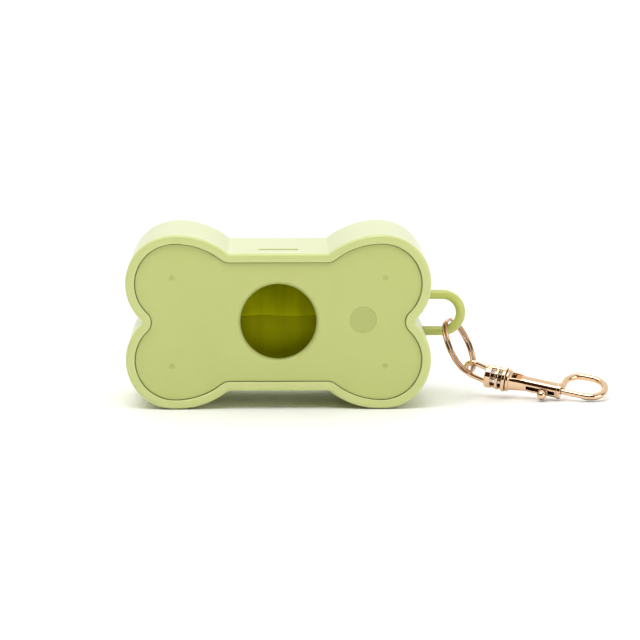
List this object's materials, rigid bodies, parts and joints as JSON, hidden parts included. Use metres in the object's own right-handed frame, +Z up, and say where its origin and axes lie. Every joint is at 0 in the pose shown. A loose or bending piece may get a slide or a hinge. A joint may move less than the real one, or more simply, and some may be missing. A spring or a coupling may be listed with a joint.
{
  "type": "bone-shaped dog waste bag dispenser",
  "caption": "Bone-shaped box for a roll of dog waste bags: pull-off front with a round bag hole, side loop, split ring and swivel bolt snap for hanging on a lead.",
  "frame": {"origin": "centre of the round bag hole, at the middle of the hole's straight wall", "axes": "+X along the bone towards the side loop, +Y to the back, +Z up; the front face looks to -Y"},
  "size_m": [0.1441, 0.042, 0.0518],
  "materials": {
    "case": "pale green polypropylene, satin moulded",
    "cover": "pale green polypropylene, fine satin",
    "loop": "pale green polypropylene, satin moulded",
    "film": "thin green polyethylene film",
    "board": "grey-brown rolled card",
    "ring_metal": "copper-pink plated spring steel",
    "snap_metal": "rose-gold plated, polished die casting",
    "pin_metal": "plain steel wire"
  },
  "bodies": {
    "case": {"case": "case", "carry_loop": "loop"},
    "cover": {"front_cover": "cover"},
    "roll": {"bag_roll": "film", "roll_core": "board", "bag_end": "film"},
    "ring": {"split_ring": "ring_metal"},
    "eye": {"swivel_eye": "snap_metal", "swivel_pin": "snap_metal"},
    "hook": {"hook_body": "snap_metal", "bolt_spring": "pin_metal"},
    "bolt": {"bolt": "snap_metal", "thumb_knob": "snap_metal"}
  },
  "joints": [
    {"name": "cover_pull", "type": "slide", "parent": "case", "child": "cover", "axis": [0, -1, 0], "range_m": [0, 0.03]},
    {"name": "roll_spin", "type": "hinge", "parent": "case", "child": "roll", "pos_m": [0, 0.0189, -0.00115], "axis": [1, 0, 0], "continuous": true},
    {"name": "ring_swing", "type": "hinge", "parent": "case", "child": "ring", "pos_m": [0.05179, 0.018, -0.00488], "axis": [0.887, 0, 0.4617], "range_deg": [-75, 75]},
    {"name": "eye_swing", "type": "hinge", "parent": "ring", "child": "eye", "pos_m": [0.05874, 0.0194, -0.01745], "axis": [-0.3317, -0.8463, -0.4168], "range_deg": [-60, 60]},
    {"name": "hook_swivel", "type": "hinge", "parent": "eye", "child": "hook", "pos_m": [0.06819, 0.01705, -0.02022], "axis": [0.9432, -0.2884, -0.165], "continuous": true},
    {"name": "bolt_slide", "type": "slide", "parent": "hook", "child": "bolt", "axis": [-0.9432, 0.2884, 0.165], "range_m": [0, 0.0048], "stiffness_N_per_m": 150, "springref_m": -0.002, "deforming": ["bolt_spring"]}
  ]
}
